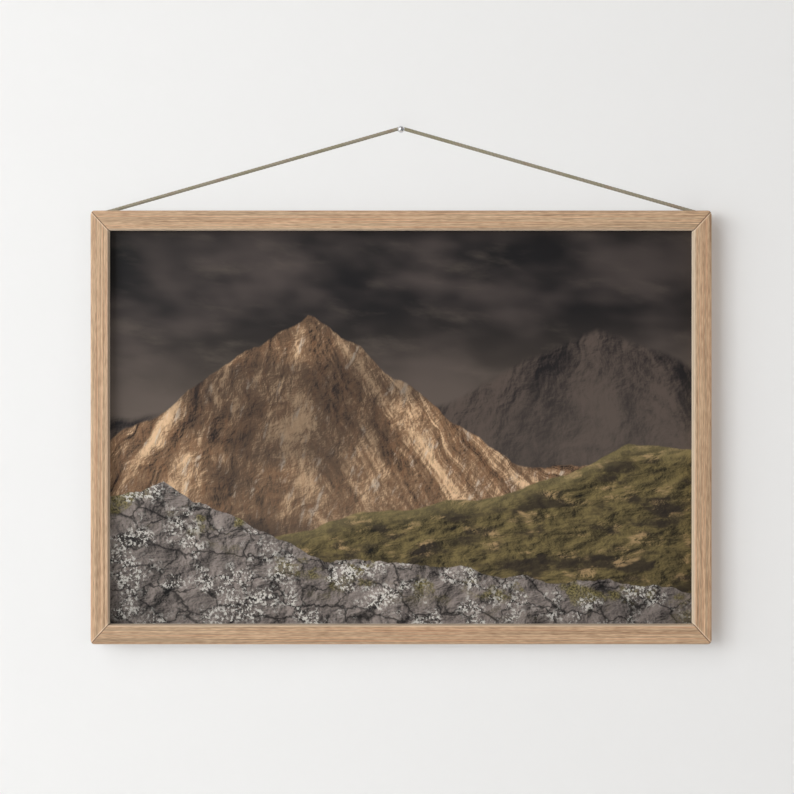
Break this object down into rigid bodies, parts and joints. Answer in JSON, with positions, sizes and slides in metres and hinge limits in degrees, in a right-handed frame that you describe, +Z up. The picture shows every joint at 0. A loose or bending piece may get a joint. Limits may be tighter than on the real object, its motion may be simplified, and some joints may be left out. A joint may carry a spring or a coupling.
{
  "type": "framed picture",
  "caption": "Landscape print in a slim mitred oak frame, hung from a wall pin by a thin cord.",
  "frame": {"origin": "the point where the wall pin enters the wall, on the wall's surface", "axes": "+X right and +Z up seen from the front, +Y into the wall; the picture faces -Y"},
  "size_m": [0.65, 0.0479, 0.5459],
  "materials": {
    "oak": "oiled, satin",
    "print_paper": "lustre print",
    "hardboard": "raw, matt",
    "spring_steel": "zinc plated",
    "bumper_rubber": "matt",
    "brass": "turned, slightly tarnished",
    "cord_cotton": "twisted, waxed",
    "chrome": "mirror polished"
  },
  "bodies": {
    "root": {"rail_top": "oak", "rail_bottom": "oak", "rail_left": "oak", "rail_right": "oak", "print_sheet": "print_paper", "backing_board": "hardboard", "tab_top_1": "spring_steel", "tab_top_2": "spring_steel", "tab_top_3": "spring_steel", "tab_top_4": "spring_steel", "tab_bottom_1": "spring_steel", "tab_bottom_2": "spring_steel", "tab_bottom_3": "spring_steel", "tab_bottom_4": "spring_steel", "tab_left_1": "spring_steel", "tab_left_2": "spring_steel", "tab_right_1": "spring_steel", "tab_right_2": "spring_steel", "bumper_top_left": "bumper_rubber", "bumper_top_right": "bumper_rubber", "bumper_bottom_left": "bumper_rubber", "bumper_bottom_right": "bumper_rubber", "corner_peg_left": "brass", "corner_peg_right": "brass", "tie_screw_left": "brass", "tie_screw_right": "brass", "cord_sleeve_left": "brass", "cord_sleeve_right": "brass", "cord_eye_left": "cord_cotton", "cord_eye_right": "cord_cotton", "cord": "cord_cotton", "wall_pin": "chrome"}
  },
  "joints": []
}
